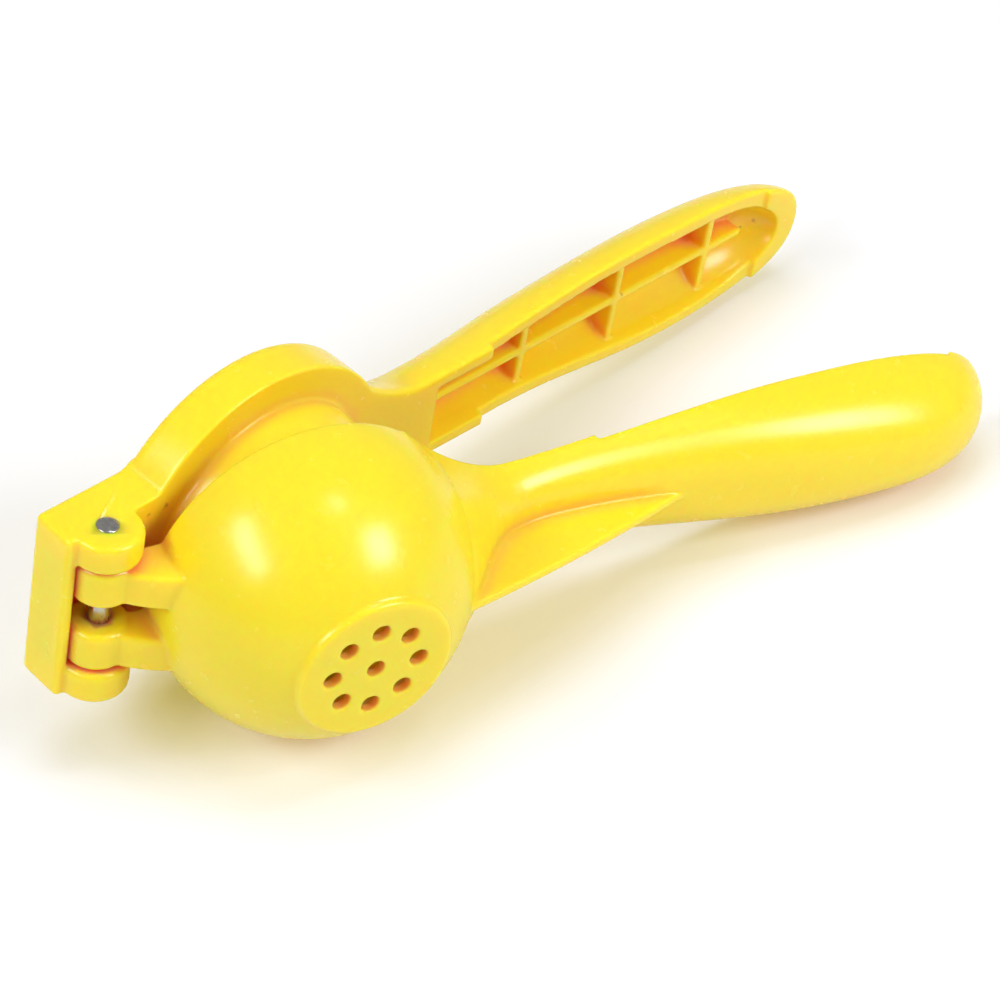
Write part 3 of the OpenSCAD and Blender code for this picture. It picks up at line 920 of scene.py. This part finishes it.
# %% Room and soft boxes
scene = bpy.context.scene
scene.view_settings.view_transform = "Standard"
world = bpy.data.worlds.new("white_room")
scene.world = world
world.use_nodes = True
nodes, links = world.node_tree.nodes, world.node_tree.links
nodes.clear()
seen = nodes.new("ShaderNodeLightPath")
room = nodes.new("ShaderNodeBackground")
room.inputs["Color"].default_value = (1, 1, 1, 1)
room.inputs["Strength"].default_value = 0.37
sheet = nodes.new("ShaderNodeBackground")
sheet.inputs["Color"].default_value = (1, 1, 1, 1)
sheet.inputs["Strength"].default_value = 1
which = nodes.new("ShaderNodeMixShader")
out = nodes.new("ShaderNodeOutputWorld")
links.new(seen.outputs["Is Camera Ray"], which.inputs["Fac"])
links.new(room.outputs["Background"], which.inputs[1])
links.new(sheet.outputs["Background"], which.inputs[2])
links.new(which.outputs["Shader"], out.inputs["Surface"])


def soft_box(name, one_end, other_end, width, power, distance=1.6):
    """An area lamp facing the bowl, whose first side runs between two directions."""
    aim = Vector((-0.03, -0.02, 0.03))
    first, last = Vector(one_end).normalized(), Vector(other_end).normalized()
    facing = (first + last).normalized()
    side = facing.cross(last - first).normalized()
    length_way = side.cross(facing)
    pick()
    bpy.ops.object.light_add(type="AREA", location=(0, 0, 0))
    lamp = bpy.context.object
    lamp.name = name
    axes = Matrix((length_way, side, facing)).transposed().to_4x4()
    lamp.matrix_world = Matrix.Translation(aim + facing * distance) @ axes
    lamp.data.shape = "RECTANGLE"
    lamp.data.size = (last - first).length * distance
    lamp.data.size_y = width
    lamp.data.energy = power
    print(name, "is", round(lamp.data.size, 2), "m long")
    return lamp


soft_box("left_box", (-0.607, 0.246, 0.756), (-0.73, -0.387, 0.563), 0.34, 12)
soft_box("right_box", (0.549, -0.46, 0.70), (0.532, -0.74, 0.45), 0.5, 12)
soft_box("top_box", (0.25, -0.20, 0.945), (0.32, -0.13, 0.945), 0.22, 1.7)
overhead = soft_box("overhead", (-0.2, 0.15, 1), (0.35, 0.15, 1), 0.9, 8, distance=1.8)
overhead.visible_glossy = False

# %% [markdown]
# ## Handing the pieces to the frame
#
# Each moulding rides on the body of its own arm, and the pin rides on the press arm, whose ears
# hold it. Each piece stands for the plain solid of the same name.

# %% Ride, replace and measure
for piece, body, node, finish in (
    (bowl_arm, "bowl_arm", "bowl_arm", "arm_plastic"),
    (press_arm, "press_arm", "press_arm", "arm_plastic"),
    (pin, "press_arm", "hinge_pin", "pin_steel"),
):
    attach(piece, body)
    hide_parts(node)

bpy.context.view_layer.update()
low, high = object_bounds()
print("the visual model's box in mm:", [round(v * 1000, 1) for v in (*low, *high)])
